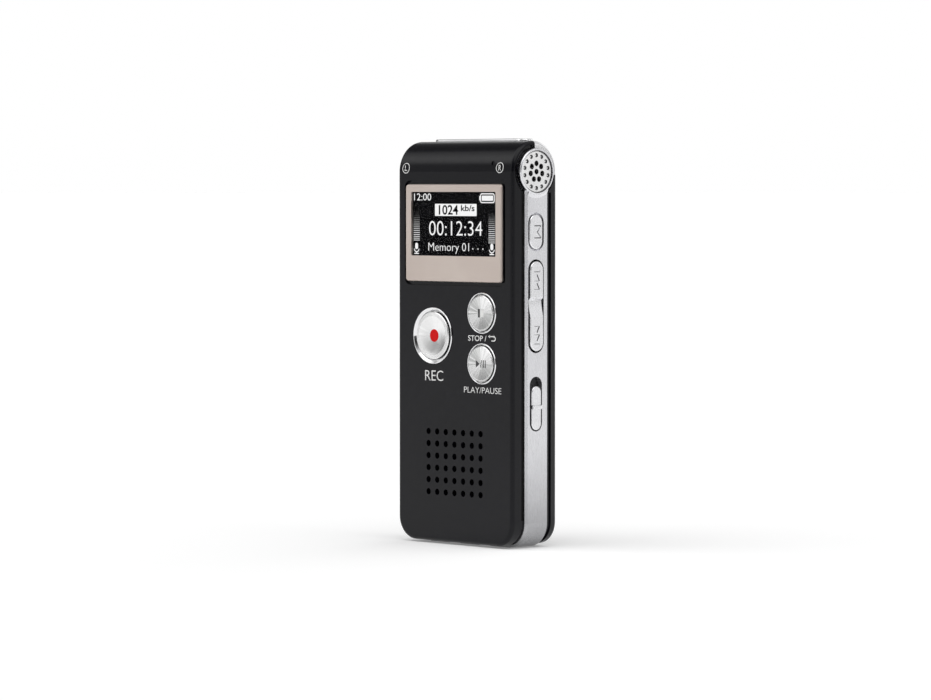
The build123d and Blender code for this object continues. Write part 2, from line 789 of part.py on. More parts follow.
with BuildPart() as seek_rocker:
    with BuildSketch(Plane.YZ.offset(wall_inner_x - 0.4)):
        with Locations((0, seek_z)):
            SlotOverall(seek_slot[0] - 2 * seek_end_gap, 2 * seek_half_y, rotation=90)
    extrude(amount=seek_face_x - wall_inner_x + 0.4)
    fillet(seek_rocker.faces().sort_by(Axis.X)[-1].edges(), 0.3)
    # the thumb valley: a slanted step below the upper pad, then a slope out to the lower pad
    with BuildSketch(Plane.XZ.offset(-3)):
        with BuildLine():
            step = Line((seek_face_x + 0.4, valley_top), (seek_face_x - valley_deep, valley_top - 1.3))
            valley = ThreePointArc(
                step @ 1,
                (seek_face_x - 0.6 * valley_deep, (valley_top + valley_low) / 2 - 0.8),
                (seek_face_x + 0.05, valley_low),
            )
            Polyline(valley @ 1, (seek_face_x + 0.4, valley_low), step @ 0)
        make_face()
    extrude(amount=6, mode=Mode.SUBTRACT)
    add(skip_mark(seek_z + 6.15, 1), mode=Mode.SUBTRACT)
    add(skip_mark(seek_z - 6.9, -1), mode=Mode.SUBTRACT)
    disc_y(seek_axis_x, seek_z, seek_hub_r, -seek_half_y, seek_half_y)
    disc_y(seek_axis_x, seek_z, seek_pin_r + seek_running_gap, -3, 3, mode=Mode.SUBTRACT)

with BuildPart() as seek_pin:
    disc_y(seek_axis_x, seek_z, seek_pin_r, -seek_pin_half, seek_pin_half)

with BuildPart() as seek_switch:
    span_box(board_notch_x, seek_switch_x, -1.6, 1.6, seek_z - 2.5, seek_z + 2.5)
    span_box(switch_slot_x, seek_switch_x + 0.5, -0.9, 0.9, seek_z - 1.0, seek_z + 1.0, mode=Mode.SUBTRACT)

with BuildPart() as seek_lever:
    span_box(lever_end_x, seek_axis_x - seek_hub_r - 0.02, -0.55, 0.55, seek_z - 0.45, seek_z + 0.45)

# ---- power slider: knob outside the frame wall, carrier inside it, lever in the slide switch ----
carrier_x0 = 17.6
carrier_x1 = wall_inner_x - 0.2
with BuildPart() as power_knob:
    with BuildSketch(Plane.YZ.offset(carrier_x1)):
        with Locations((0, knob_z)):
            SlotOverall(knob_long, power_slot[1] - 2 * side_gap, rotation=90)
    extrude(amount=frame_half_w + knob_proud - carrier_x1)
    fillet(power_knob.faces().sort_by(Axis.X)[-1].edges(), 0.25)
    span_box(frame_half_w, frame_half_w + knob_proud + 0.45, -1.5, 1.5, knob_z - 0.2, knob_z + 0.7)
    fillet(power_knob.faces().sort_by(Axis.X)[-1].edges(), 0.2)

with BuildPart() as power_carrier:
    span_box(carrier_x0, carrier_x1, -2.7, 2.7, knob_z - 7.9, knob_z + 8.7)
    fillet(power_carrier.edges().filter_by(Axis.X), 0.8)

power_lever_z = knob_z - 0.6
with BuildPart() as power_lever:
    span_box(lever_end_x, carrier_x0, -0.75, 0.75, power_lever_z - 0.8, power_lever_z + 0.8)

with BuildPart() as power_switch:
    switch_low = power_lever_z - 3.7
    switch_high = power_lever_z + knob_travel + 3.7
    span_box(board_notch_x, power_switch_x, -switch_half_y, switch_half_y, switch_low, switch_high)
    slot_low = power_lever_z - 1.1
    slot_high = power_lever_z + knob_travel + 1.1
    span_box(switch_slot_x, power_switch_x + 0.5, -1.05, 1.05, slot_low, slot_high, mode=Mode.SUBTRACT)

# ---- circuit board ----
with BuildPart() as main_board:
    with BuildSketch(Plane.XZ.offset(-board_back_y)):
        with Locations((0, (board_low + board_high) / 2)):
            Rectangle(2 * board_half_w, board_high - board_low)
    extrude(amount=board_back_y - board_front_y)
    fillet(main_board.edges().filter_by(Axis.Y), 1.5)
    # the tab under the USB socket, and the notches that the side switches stand in
    span_box(-board_half_w - 2, -board_half_w + 1, board_front_y, board_back_y, usb_z - 5, usb_z + 5)
    for low, high in (
        (menu_z - 3.2, menu_z + 3.2),
        (seek_z - 2.7, seek_z + 2.7),
        (power_lever_z - 3.9, power_lever_z + 5.9),
    ):
        span_box(board_notch_x, board_half_w + 1, board_front_y, board_back_y, low, high, mode=Mode.SUBTRACT)
    for x, z in screw_places:
        disc_y(x, z, shank_hole_r + 0.1, board_front_y - 1, board_back_y + 1, mode=Mode.SUBTRACT)


def chip(x, z, width, tall_z, high):
    """A component on the back of the board."""
    with BuildPart() as body:
        span_box(
            x - width / 2, x + width / 2, board_back_y, board_back_y + high, z - tall_z / 2, z + tall_z / 2
        )
        chamfer(body.faces().sort_by(Axis.Y)[-1].edges(), 0.12)
    return body


processor = chip(-5.5, 70.0, 7.0, 7.0, 0.9)
flash_memory = chip(5.5, 70.0, 12.0, 8.0, 1.0)
crystal = chip(-6.0, 76.5, 3.2, 1.5, 0.7)
inductor = chip(0.0, 77.5, 3.0, 3.0, 1.4)

# ---- speaker behind the front holes ----
mesh_back_y = -inner_y + mesh_thick
gasket_back_y = mesh_back_y + gasket_thick
with BuildPart() as speaker_mesh:
    disc_y(0, speaker_z, speaker_r, -inner_y, mesh_back_y)

with BuildPart() as speaker_gasket:
    disc_y(0, speaker_z, speaker_r, mesh_back_y, gasket_back_y)
    disc_y(0, speaker_z, speaker_r - speaker_lip, mesh_back_y, gasket_back_y, mode=Mode.SUBTRACT)

with BuildPart() as speaker:
    disc_y(0, speaker_z, speaker_r, gasket_back_y, gasket_back_y + 2.6)
    disc_y(0, speaker_z, speaker_r - speaker_lip, gasket_back_y, gasket_back_y + 0.7, mode=Mode.SUBTRACT)
    disc_y(0, speaker_z, 6.5, gasket_back_y + 2.6, board_front_y - 0.6)
    disc_y(0, speaker_z, 3.5, gasket_back_y + 0.2, gasket_back_y + 0.7)


def wire(points):
    """One insulated lead of straight runs joined by tangent arcs."""
    with BuildPart() as lead:
        with BuildLine() as route:
            FilletPolyline(*points, radius=lead_bend)
        with BuildSketch(Plane(origin=route.line @ 0, z_dir=route.line % 0)):
            Circle(lead_r)
        sweep()
    return lead.part


speaker_edge_z = speaker_z + speaker_r
with BuildPart() as speaker_leads:
    for x in (-1.0, 1.0):
        add(
            wire(
                (
                    (x, -2.45, speaker_edge_z - 1.0),
                    (x, -2.45, speaker_edge_z + 2.2),
                    (x, board_front_y - 0.05, speaker_edge_z + 3.6),
                )
            )
        )
    span_box(-4, 4, board_front_y, board_back_y, speaker_edge_z, speaker_edge_z + 6, mode=Mode.SUBTRACT)

# ---- battery, stuck to the back cover by a foam pad ----
with BuildPart() as battery:
    span_box(
        -battery_half_w, battery_half_w, battery_front_y, battery_back_y, battery_low, battery_high
    )
    fillet(battery.edges().filter_by(Axis.Z), 1.4)
    span_box(-8, 8, 2.7, 3.5, battery_high, battery_high + 1.6)

with BuildPart() as battery_pad:
    span_box(-10, 10, battery_back_y + air_gap, inner_y, battery_low + 4, battery_high - 4)

with BuildPart() as battery_leads:
    for x in (-5.0, 5.0):
        add(
            wire(
                (
                    (x, 3.1, battery_high + 1.65),
                    (x, 3.1, battery_high + 4.0),
                    (x, board_back_y + 0.05, battery_high + 6.0),
                )
            )
        )
    span_box(-8, 8, board_front_y, board_back_y, battery_high, battery_high + 10, mode=Mode.SUBTRACT)


# ---- jacks under the top land ----
def audio_jack(x):
    """3.5 mm jack on the back of the board; its nozzle reaches up into the cap."""
    nozzle_top = height - plug_hole_long
    with BuildPart() as jack:
        span_box(x - jack_width / 2, x + jack_width / 2, board_back_y, jack_deep, jack_low, jack_top)
        with BuildSketch(Plane.XY.offset(jack_top)):
            with Locations((x, land_y)):
                Circle(nozzle_r)
        extrude(amount=nozzle_top - air_gap - jack_top)
        with BuildSketch(Plane.XY.offset(nozzle_top)):
            with Locations((x, land_y)):
                Circle(plug_hole_r)
        extrude(amount=-(nozzle_top - jack_low - 0.6), mode=Mode.SUBTRACT)
    return jack


with BuildPart() as usb_socket:
    with BuildSketch(Plane.YZ.offset(usb_mouth_x)):
        with Locations((usb_y, usb_z)):
            RectangleRounded(usb_deep, usb_long, 0.7)
    extrude(amount=usb_end_x - usb_mouth_x)
    with BuildSketch(Plane.YZ.offset(usb_mouth_x)):
        with Locations((usb_y, usb_z)):
            RectangleRounded(usb_deep - 2 * usb_wall, usb_long - 2 * usb_wall, 0.45)
    extrude(amount=usb_cavity, mode=Mode.SUBTRACT)

with BuildPart() as usb_tongue:
    span_box(
        usb_mouth_x + 0.6, usb_mouth_x + usb_cavity, usb_y - 0.35, usb_y + 0.35, usb_z - 2.0, usb_z + 2.0
    )

# ---- status light ----
with BuildPart() as light_guide:
    disc_y(*light_place, light_guide_r, -4.9, board_front_y - 0.7)
    disc_y(*light_place, light_hole_r - 0.05, -6.6, -4.9)

with BuildPart() as status_led:
    x, z = light_place
    span_box(x - 0.5, x + 0.5, board_front_y - 0.6, board_front_y, z - 0.3, z + 0.3)

# ---- four case screws ----
with BuildPart() as case_screws:
    for x, z in screw_places:
        disc_y(x, z, screw_head_r, screw_seat_y, screw_seat_y + screw_head_tall)
        disc_y(x, z, shank_r, pilot_end_y + 0.4, screw_seat_y)
        for wide, deep in ((1.6, 0.35), (0.35, 1.6)):
            span_box(
                x - wide / 2,
                x + wide / 2,
                screw_seat_y + screw_head_tall - 0.45,
                screw_seat_y + screw_head_tall,
                z - deep / 2,
                z + deep / 2,
                mode=Mode.SUBTRACT,
            )

pieces = {
    "front_cover": front_cover,
    "back_cover": back_cover,
    "mid_frame": mid_frame,
    "base_feet": base_feet,
    "top_cap": top_cap,
    "mic_grille_right": microphone_grille(1),
    "mic_grille_left": microphone_grille(-1),
    "mic_boot_right": microphone_boot(1),
    "mic_boot_left": microphone_boot(-1),
    "mic_capsule_right": microphone_capsule(1),
    "mic_capsule_left": microphone_capsule(-1),
    "display_bezel": display_bezel,
    "display_window": display_window,
    "display_panel": display_panel,
    "display_holder": display_holder,
    "display_connector": display_connector,
    "display_flex": display_flex,
    "rec_ring": button_ring(rec_place, rec_ring_r, rec_hole_r, rec_ring_proud),
    "stop_ring": button_ring(stop_place, small_ring_r, small_hole_r, small_ring_proud),
    "play_ring": button_ring(play_place, small_ring_r, small_hole_r, small_ring_proud),
    "rec_button": rec_cap,
    "rec_dot": rec_dot,
    "stop_button": stop_cap,
    "play_button": play_cap,
    "rec_switch": tact_switch(rec_place),
    "stop_switch": tact_switch(stop_place),
    "play_switch": tact_switch(play_place),
    "rec_plunger": tact_plunger(rec_place),
    "stop_plunger": tact_plunger(stop_place),
    "play_plunger": tact_plunger(play_place),
    "menu_button": menu_button,
    "menu_switch": menu_switch,
    "menu_plunger": menu_plunger,
    "seek_rocker": seek_rocker,
    "seek_pin": seek_pin,
    "seek_switch": seek_switch,
    "seek_lever": seek_lever,
    "power_knob": power_knob,
    "power_carrier": power_carrier,
    "power_lever": power_lever,
    "power_switch": power_switch,
    "main_board": main_board,
    "processor": processor,
    "flash_memory": flash_memory,
    "crystal": crystal,
    "inductor": inductor,
    "speaker_mesh": speaker_mesh,
    "speaker_gasket": speaker_gasket,
    "speaker": speaker,
    "speaker_leads": speaker_leads,
    "battery": battery,
    "battery_pad": battery_pad,
    "battery_leads": battery_leads,
    "headphone_jack": audio_jack(jack_x),
    "line_in_jack": audio_jack(-jack_x),
    "usb_socket": usb_socket,
    "usb_tongue": usb_tongue,
    "light_guide": light_guide,
    "status_led": status_led,
    "case_screws": case_screws,
}

for name, piece in pieces.items():
    piece.part.label = name
    export_step(piece.part, f"parts/{name}.step")
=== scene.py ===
import json
import math

import bmesh
import bpy
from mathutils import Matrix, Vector


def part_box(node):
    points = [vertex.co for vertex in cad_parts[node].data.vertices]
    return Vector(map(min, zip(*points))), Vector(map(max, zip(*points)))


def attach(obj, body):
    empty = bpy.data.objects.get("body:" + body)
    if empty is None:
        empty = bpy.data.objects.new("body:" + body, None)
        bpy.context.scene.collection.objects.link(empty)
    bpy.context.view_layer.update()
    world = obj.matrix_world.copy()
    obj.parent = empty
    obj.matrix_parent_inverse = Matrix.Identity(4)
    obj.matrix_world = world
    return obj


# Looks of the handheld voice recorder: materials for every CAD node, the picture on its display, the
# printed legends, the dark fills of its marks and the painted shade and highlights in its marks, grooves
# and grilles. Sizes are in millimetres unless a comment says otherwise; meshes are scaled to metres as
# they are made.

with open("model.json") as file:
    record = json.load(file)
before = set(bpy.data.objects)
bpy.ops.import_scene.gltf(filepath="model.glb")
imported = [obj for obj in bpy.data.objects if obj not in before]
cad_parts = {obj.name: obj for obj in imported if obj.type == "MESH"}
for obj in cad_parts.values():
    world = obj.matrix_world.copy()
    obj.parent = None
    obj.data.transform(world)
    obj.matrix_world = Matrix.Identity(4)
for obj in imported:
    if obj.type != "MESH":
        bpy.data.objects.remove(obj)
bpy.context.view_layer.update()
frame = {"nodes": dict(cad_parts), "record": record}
MM = 0.001


def corner_mm(node, which):
    """Lowest (0) or highest (1) corner of a CAD node, in millimetres."""
    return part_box(node)[which] / MM


# ---------------------------------------------------------------- material tools
def new_material(name, color, roughness, metallic=0.0, **constants):
    """A Principled material. Constants are socket names with _ for each space."""
    mat = bpy.data.materials.new(name)
    mat.use_nodes = True
    shader = mat.node_tree.nodes["Principled BSDF"]
    shader.inputs["Base Color"].default_value = (*color, 1.0)
    shader.inputs["Roughness"].default_value = roughness
    shader.inputs["Metallic"].default_value = metallic
    for socket, value in constants.items():
        shader.inputs[socket.replace("_", " ")].default_value = value
    return mat


def add_node(mat, kind, **settings):
    node = mat.node_tree.nodes.new(kind)
    for key, value in settings.items():
        setattr(node, key, value)
    return node


def wire_up(mat, source, target):
    mat.node_tree.links.new(source, target)


def principled(mat, socket):
    return mat.node_tree.nodes["Principled BSDF"].inputs[socket]


def grain(mat, per_mm, detail=2.0, stretch=(1, 1, 1), space="Object"):
    """Noise with per_mm cells to the millimetre, drawn out along an axis whose stretch is small."""
    place = add_node(mat, "ShaderNodeTexCoord")
    mapping = add_node(mat, "ShaderNodeMapping")
    mapping.inputs["Scale"].default_value = [per_mm / MM * part for part in stretch]
    noise = add_node(mat, "ShaderNodeTexNoise")
    noise.inputs["Scale"].default_value = 1.0
    noise.inputs["Detail"].default_value = detail
    wire_up(mat, place.outputs[space], mapping.inputs["Vector"])
    wire_up(mat, mapping.outputs["Vector"], noise.inputs["Vector"])
    return noise.outputs["Fac"]


def spread(mat, value, low, high):
    """Maps the usual span of a noise to low..high."""
    node = add_node(mat, "ShaderNodeMapRange")
    node.inputs["From Min"].default_value = 0.3
    node.inputs["From Max"].default_value = 0.7
    node.inputs["To Min"].default_value = low
    node.inputs["To Max"].default_value = high
    wire_up(mat, value, node.inputs["Value"])
    return node.outputs["Result"]


def tint(mat, value, low_color, high_color):
    """Base colour that drifts between two colours."""
    ramp = add_node(mat, "ShaderNodeValToRGB")
    ramp.color_ramp.elements[0].position = 0.3
    ramp.color_ramp.elements[0].color = (*low_color, 1.0)
    ramp.color_ramp.elements[1].position = 0.7
    ramp.color_ramp.elements[1].color = (*high_color, 1.0)
    wire_up(mat, value, ramp.inputs["Fac"])
    wire_up(mat, ramp.outputs["Color"], principled(mat, "Base Color"))


def relief(mat, value, height_mm, strength=1.0):
    """Bump of height_mm from a 0..1 value, on top of any relief that is there already."""
    bump = add_node(mat, "ShaderNodeBump")
    bump.inputs["Strength"].default_value = strength
    bump.inputs["Distance"].default_value = height_mm * MM
    wire_up(mat, value, bump.inputs["Height"])
    normal = principled(mat, "Normal")
    if normal.links:
        wire_up(mat, normal.links[0].from_socket, bump.inputs["Normal"])
    wire_up(mat, bump.outputs["Normal"], normal)


def roughen(mat, value, low, high):
    wire_up(mat, spread(mat, value, low, high), principled(mat, "Roughness"))


# ---------------------------------------------------------------- materials, one per record slot
def cover_black(name, gloss):
    """Satin moulded plastic with a fine spark-eroded grain."""
    mat = new_material(name, (0.0024, 0.0024, 0.0043), 0.2, Specular_IOR_Level=gloss)
    tint(mat, grain(mat, 0.05), (0.0020, 0.0020, 0.0036), (0.0028, 0.0028, 0.0050))
    roughen(mat, grain(mat, 0.6, 3.0), 0.17, 0.23)
    relief(mat, grain(mat, 6.0, 1.0), 0.003, 0.4)
    return mat


def silver(name, color, rough, brushed=(1, 1, 0.04), height=0.003, low_shade=1.0):
    """Plated satin silver with a fine grain, and, when low_shade is under 1, painted shade that darkens
    it towards the recorder's base.
    """
    mat = new_material(name, color, rough, 1.0)
    dark = tuple(part * 0.93 for part in color)
    tint(mat, grain(mat, 0.15, 3.0), dark, color)
    # painted shade: the base colour is scaled from full at 30 mm up to low_shade at 16 mm below the base
    if low_shade < 1.0:
        place = add_node(mat, "ShaderNodeTexCoord")
        parts = add_node(mat, "ShaderNodeSeparateXYZ")
        painted_base_shade = add_node(mat, "ShaderNodeMapRange", interpolation_type="SMOOTHSTEP")
        painted_base_shade.inputs["From Min"].default_value = -16 * MM
        painted_base_shade.inputs["From Max"].default_value = 30 * MM
        painted_base_shade.inputs["To Min"].default_value = low_shade
        painted_base_shade.inputs["To Max"].default_value = 1.0
        times = add_node(mat, "ShaderNodeVectorMath", operation="SCALE")
        wire_up(mat, place.outputs["Object"], parts.inputs["Vector"])
        wire_up(mat, parts.outputs["Z"], painted_base_shade.inputs["Value"])
        wire_up(mat, principled(mat, "Base Color").links[0].from_socket, times.inputs[0])
        wire_up(mat, painted_base_shade.outputs["Result"], times.inputs["Scale"])
        wire_up(mat, times.outputs["Vector"], principled(mat, "Base Color"))
    roughen(mat, grain(mat, 5.0, 2.0, brushed), rough - 0.04, rough + 0.04)
    relief(mat, grain(mat, 6.0, 2.0, brushed), height, 0.5)
    return mat


def bezel_champagne():
    """Anodised aluminium, brushed across."""
    mat = new_material("bezel_champagne", (0.66, 0.57, 0.52), 0.38, 0.85)
    tint(mat, grain(mat, 0.08), (0.63, 0.54, 0.49), (0.68, 0.595, 0.54))
    roughen(mat, grain(mat, 8.0, 2.0, (0.03, 1, 1)), 0.34, 0.44)
    relief(mat, grain(mat, 10.0, 1.0, (0.03, 1, 1)), 0.002, 0.5)
    return mat


def window_clear():
    """Polished acrylic."""
    mat = new_material("window_clear", (0.01, 0.01, 0.012), 0.05, Alpha=0.06, Specular_IOR_Level=0.3)
    tint(mat, grain(mat, 0.3), (0.009, 0.009, 0.011), (0.012, 0.012, 0.014))
    return mat


def display_dark():
    """Black face of the display module, with its faint dot grid."""
    mat = new_material("display_dark", (0.002, 0.002, 0.0025), 0.2, Specular_IOR_Level=0.03)
    tint(mat, grain(mat, 4.0), (0.0012, 0.0012, 0.0016), (0.0022, 0.0022, 0.003))
    roughen(mat, grain(mat, 1.0), 0.16, 0.24)
    return mat


def ring_chrome():
    mat = new_material("ring_chrome", (0.86, 0.86, 0.87), 0.12, 1.0)
    tint(mat, grain(mat, 0.2), (0.83, 0.83, 0.84), (0.88, 0.88, 0.89))
    roughen(mat, grain(mat, 1.5), 0.08, 0.16)
    return mat


def button_metal():
    """Turned metal: fine circular tool marks whose anisotropic glints fan out from the middle, with a fan
    of painted highlights in the base colour.
    """
    mat = new_material("button_metal", (0.80, 0.80, 0.80), 0.24, 1.0, Anisotropic=0.9)
    tangent = add_node(mat, "ShaderNodeTangent", direction_type="RADIAL", axis="Y")
    wire_up(mat, tangent.outputs["Tangent"], principled(mat, "Tangent"))
    place = add_node(mat, "ShaderNodeTexCoord")
    centred = add_node(mat, "ShaderNodeVectorMath", operation="SUBTRACT")
    centred.inputs[1].default_value = (0.5, 0.5, 0.5)
    rings = add_node(mat, "ShaderNodeTexWave", wave_type="RINGS", rings_direction="Y")
    rings.inputs["Scale"].default_value = 14.0
    rings.inputs["Distortion"].default_value = 0.4
    wire_up(mat, place.outputs["Generated"], centred.inputs[0])
    wire_up(mat, centred.outputs["Vector"], rings.inputs["Vector"])
    relief(mat, rings.outputs["Fac"], 0.002, 0.6)
    # painted highlights in the base colour, a fan of glints: the angle round the cap, as narrow and broad
    # spokes
    parts = add_node(mat, "ShaderNodeSeparateXYZ")
    angle = add_node(mat, "ShaderNodeMath", operation="ARCTAN2")
    broad = add_node(mat, "ShaderNodeMath", operation="MULTIPLY_ADD")
    broad.inputs[1].default_value = 2.0
    broad.inputs[2].default_value = math.radians(-95.0)
    swing = add_node(mat, "ShaderNodeMath", operation="COSINE")
    narrow = add_node(mat, "ShaderNodeTexNoise", noise_dimensions="1D")
    narrow.inputs["Scale"].default_value = 5.0
    narrow.inputs["Detail"].default_value = 3.0
    both = add_node(mat, "ShaderNodeMath", operation="MULTIPLY_ADD")
    both.inputs[1].default_value = 0.22
    ramp = add_node(mat, "ShaderNodeValToRGB")
    ramp.color_ramp.elements[0].position = 0.22
    ramp.color_ramp.elements[0].color = (0.55, 0.555, 0.55, 1.0)
    ramp.color_ramp.elements[1].position = 0.75
    ramp.color_ramp.elements[1].color = (0.95, 0.95, 0.95, 1.0)
    wire_up(mat, centred.outputs["Vector"], parts.inputs["Vector"])
    wire_up(mat, parts.outputs["Z"], angle.inputs[0])
    wire_up(mat, parts.outputs["X"], angle.inputs[1])
    wire_up(mat, angle.outputs[0], broad.inputs[0])
    wire_up(mat, broad.outputs[0], swing.inputs[0])
    wire_up(mat, angle.outputs[0], narrow.inputs["W"])
    wire_up(mat, swing.outputs[0], both.inputs[0])
    wire_up(mat, narrow.outputs["Fac"], both.inputs[2])
    wire_up(mat, both.outputs[0], ramp.inputs["Fac"])
    # the record cap, at negative x, is evenly bright, with most of the painted glints left off
    object_parts = add_node(mat, "ShaderNodeSeparateXYZ")
    on_record = add_node(mat, "ShaderNodeMath", operation="LESS_THAN")
    on_record.inputs[1].default_value = 0.0
    calm = add_node(mat, "ShaderNodeMix", data_type="RGBA")
    calm.inputs[7].default_value = (0.90, 0.90, 0.90, 1.0)
    share = add_node(mat, "ShaderNodeMath", operation="MULTIPLY")
    share.inputs[1].default_value = 0.75
    wire_up(mat, place.outputs["Object"], object_parts.inputs["Vector"])
    wire_up(mat, object_parts.outputs["X"], on_record.inputs[0])
    wire_up(mat, on_record.outputs[0], share.inputs[0])
    wire_up(mat, share.outputs[0], calm.inputs[0])
    wire_up(mat, ramp.outputs["Color"], calm.inputs[6])
    wire_up(mat, calm.outputs[2], principled(mat, "Base Color"))
    return mat


def plastic(name, low_color, high_color, rough, cells=3.0, height=0.003, **constants):
    mat = new_material(name, low_color, rough, **constants)
    tint(mat, grain(mat, 0.3), low_color, high_color)
    roughen(mat, grain(mat, 1.0), rough - 0.05, rough + 0.05)
    relief(mat, grain(mat, cells), height, 0.5)
    return mat


def metal(name, color, rough, cells=3.0):
    mat = new_material(name, color, rough, 1.0)
    tint(mat, grain(mat, 0.4), tuple(part * 0.9 for part in color), color)
    roughen(mat, grain(mat, 1.2), rough - 0.06, rough + 0.06)
    relief(mat, grain(mat, cells), 0.003, 0.4)
    return mat


def board_green():
    """Solder mask over faint copper tracks."""
    mat = plastic("board_green", (0.012, 0.10, 0.035), (0.02, 0.15, 0.05), 0.35)
    tracks = add_node(mat, "ShaderNodeTexBrick")
    tracks.inputs["Scale"].default_value = 0.8 / MM
    place = add_node(mat, "ShaderNodeTexCoord")
    wire_up(mat, place.outputs["Object"], tracks.inputs["Vector"])
    relief(mat, tracks.outputs["Fac"], 0.02, 0.4)
    return mat


def mesh_black():
    """Woven dust mesh."""
    mat = new_material("mesh_black", (0.012, 0.012, 0.012), 0.7)
    place = add_node(mat, "ShaderNodeTexCoord")
    weave = add_node(mat, "ShaderNodeTexChecker")
    weave.inputs["Scale"].default_value = 6.0 / MM
    wire_up(mat, place.outputs["Object"], weave.inputs["Vector"])
    relief(mat, weave.outputs["Fac"], 0.02, 0.6)
    tint(mat, weave.outputs["Fac"], (0.006, 0.006, 0.006), (0.018, 0.018, 0.018))
    return mat


def guide_clear():
    mat = new_material("guide_clear", (0.05, 0.05, 0.055), 0.15, Transmission_Weight=0.6, IOR=1.1)
    roughen(mat, grain(mat, 1.0), 0.1, 0.2)
    return mat


finishes = {
    "cover_black": cover_black("cover_black", 0.24),
    # the last number of frame_silver and side_silver is low_shade, the painted shade at the recorder's
    # base
    "frame_silver": silver("frame_silver", (0.79, 0.79, 0.815), 0.26, (1, 1, 0.06), 0.0012, 0.20),
    "cap_silver": silver("cap_silver", (0.90, 0.90, 0.91), 0.09, (0.04, 1, 1), 0.0005),
    "grille_silver": silver("grille_silver", (0.88, 0.88, 0.88), 0.32, (1, 1, 1)),
    "bezel_champagne": bezel_champagne(),
    "window_clear": window_clear(),
    "display_dark": display_dark(),
    "ring_chrome": ring_chrome(),
    "button_metal": button_metal(),
    "side_silver": silver("side_silver", (0.88, 0.88, 0.90), 0.26, (1, 1, 0.2), 0.0012, 0.6),
    "red_enamel": plastic(
        "red_enamel", (0.60, 0.0, 0.0), (0.68, 0.001, 0.001), 0.35, Specular_IOR_Level=0.15
    ),
    "dark_plastic": plastic("dark_plastic", (0.012, 0.012, 0.013), (0.024, 0.024, 0.026), 0.55),
    "switch_metal": metal("switch_metal", (0.62, 0.62, 0.62), 0.32),
    "board_green": board_green(),
    "chip_black": plastic("chip_black", (0.018, 0.018, 0.018), (0.03, 0.03, 0.03), 0.5),
    "connector_cream": plastic("connector_cream", (0.62, 0.58, 0.46), (0.70, 0.66, 0.54), 0.45),
    "flex_amber": plastic("flex_amber", (0.42, 0.17, 0.02), (0.52, 0.22, 0.03), 0.3),
    "boot_rubber": plastic("boot_rubber", (0.012, 0.012, 0.012), (0.02, 0.02, 0.02), 0.75),
    "mesh_black": mesh_black(),
    "cell_silver": metal("cell_silver", (0.60, 0.61, 0.63), 0.38, 1.2),
    "foam_grey": plastic("foam_grey", (0.16, 0.16, 0.16), (0.26, 0.26, 0.26), 0.85, 2.0, 0.05),
    "lead_red": plastic("lead_red", (0.38, 0.012, 0.012), (0.48, 0.02, 0.02), 0.4),
    "guide_clear": guide_clear(),
}
for part in frame["record"]["subparts"]:
    for cell in frame["nodes"][part["node"]].material_slots:
        cell.material = finishes[part["material_slot"]]
# the back cover is a little glossier than the front
for cell in frame["nodes"]["back_cover"].material_slots:
    cell.material = cover_black("cover_black_back", 0.42)


def felt():
    """Black felt over the microphone capsules, also used as painted shade on the floors of the grooves in
    front of the mid frame.
    """
    return plastic(
        "felt", (0.004, 0.004, 0.004), (0.012, 0.012, 0.012), 0.95, 6.0, 0.03, Specular_IOR_Level=0.1
    )


def legend_ink():
    """White pad-printed ink, also used as a painted highlight on the floor of the stop mark."""
    return plastic("legend_ink", (0.74, 0.74, 0.73), (0.82, 0.82, 0.81), 0.5, 8.0, 0.002)


def engraving_ink_and_painted_shade():
    """Dark fill of the engraved M, and painted shade in the rocker's marks, the stop and play marks and
    the grilles.
    """
    return plastic("engraving_ink_and_painted_shade", (0.03, 0.03, 0.032), (0.06, 0.06, 0.062), 0.5)


def lit_pixels(name, color, strength):
    """Light from the display's pixels, a little uneven from cell to cell."""
    mat = new_material(name, (0.0, 0.0, 0.0), 0.4, Emission_Color=(*color, 1.0))
    uneven = spread(mat, grain(mat, 5.0), strength * 0.94, strength * 1.06)
    wire_up(mat, uneven, principled(mat, "Emission Strength"))
    return mat


# ---------------------------------------------------------------- mesh tools
def on_front(depth_y):
    """Places a flat shape, (across, up, out) in mm, on a plane that looks towards -Y."""
    return lambda u, v, w: Vector((u, depth_y - w, v)) * MM


def on_side(face_x):
    """Places a flat shape, (back, up, out) in mm, on a plane that looks towards +X."""
    return lambda u, v, w: Vector((face_x + w, u, v)) * MM


def on_nose(lift=0.0):
    """Places a flat shape on the front cover, wrapping it over the half-round top."""
    low = corner_mm("front_cover", 0)
    radius = -low.y
    axis_z = corner_mm("front_cover", 1).z - radius

    def place(u, v, w):
        rise = max(0.0, v - axis_z)
        out = math.sqrt(radius ** 2 - rise ** 2) + lift
        return Vector((u, -out - w, v)) * MM

    return place


def piece(name, build, body, mat):
    """A mesh object made by build(bmesh), riding on a CAD body."""
    shape = bmesh.new()
    build(shape)
    bmesh.ops.remove_doubles(shape, verts=shape.verts, dist=0.0005 * MM)
    bmesh.ops.recalc_face_normals(shape, faces=shape.faces)
    mesh = bpy.data.meshes.new(name)
    shape.to_mesh(mesh)
    shape.free()
    mesh.materials.append(mat)
    item = bpy.data.objects.new(name, mesh)
    bpy.context.scene.collection.objects.link(item)
    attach(item, body)
    return item


def slab(shape, outline, place, thick):
    """A thin solid from one outline of (across, up) points."""
    back = [shape.verts.new(place(u, v, 0.0)) for u, v in outline]
    front = [shape.verts.new(place(u, v, thick)) for u, v in outline]
    shape.faces.new(front)
    shape.faces.new(back[::-1])
    count = len(outline)
    for i in range(count):
        j = (i + 1) % count
        shape.faces.new((back[i], back[j], front[j], front[i]))


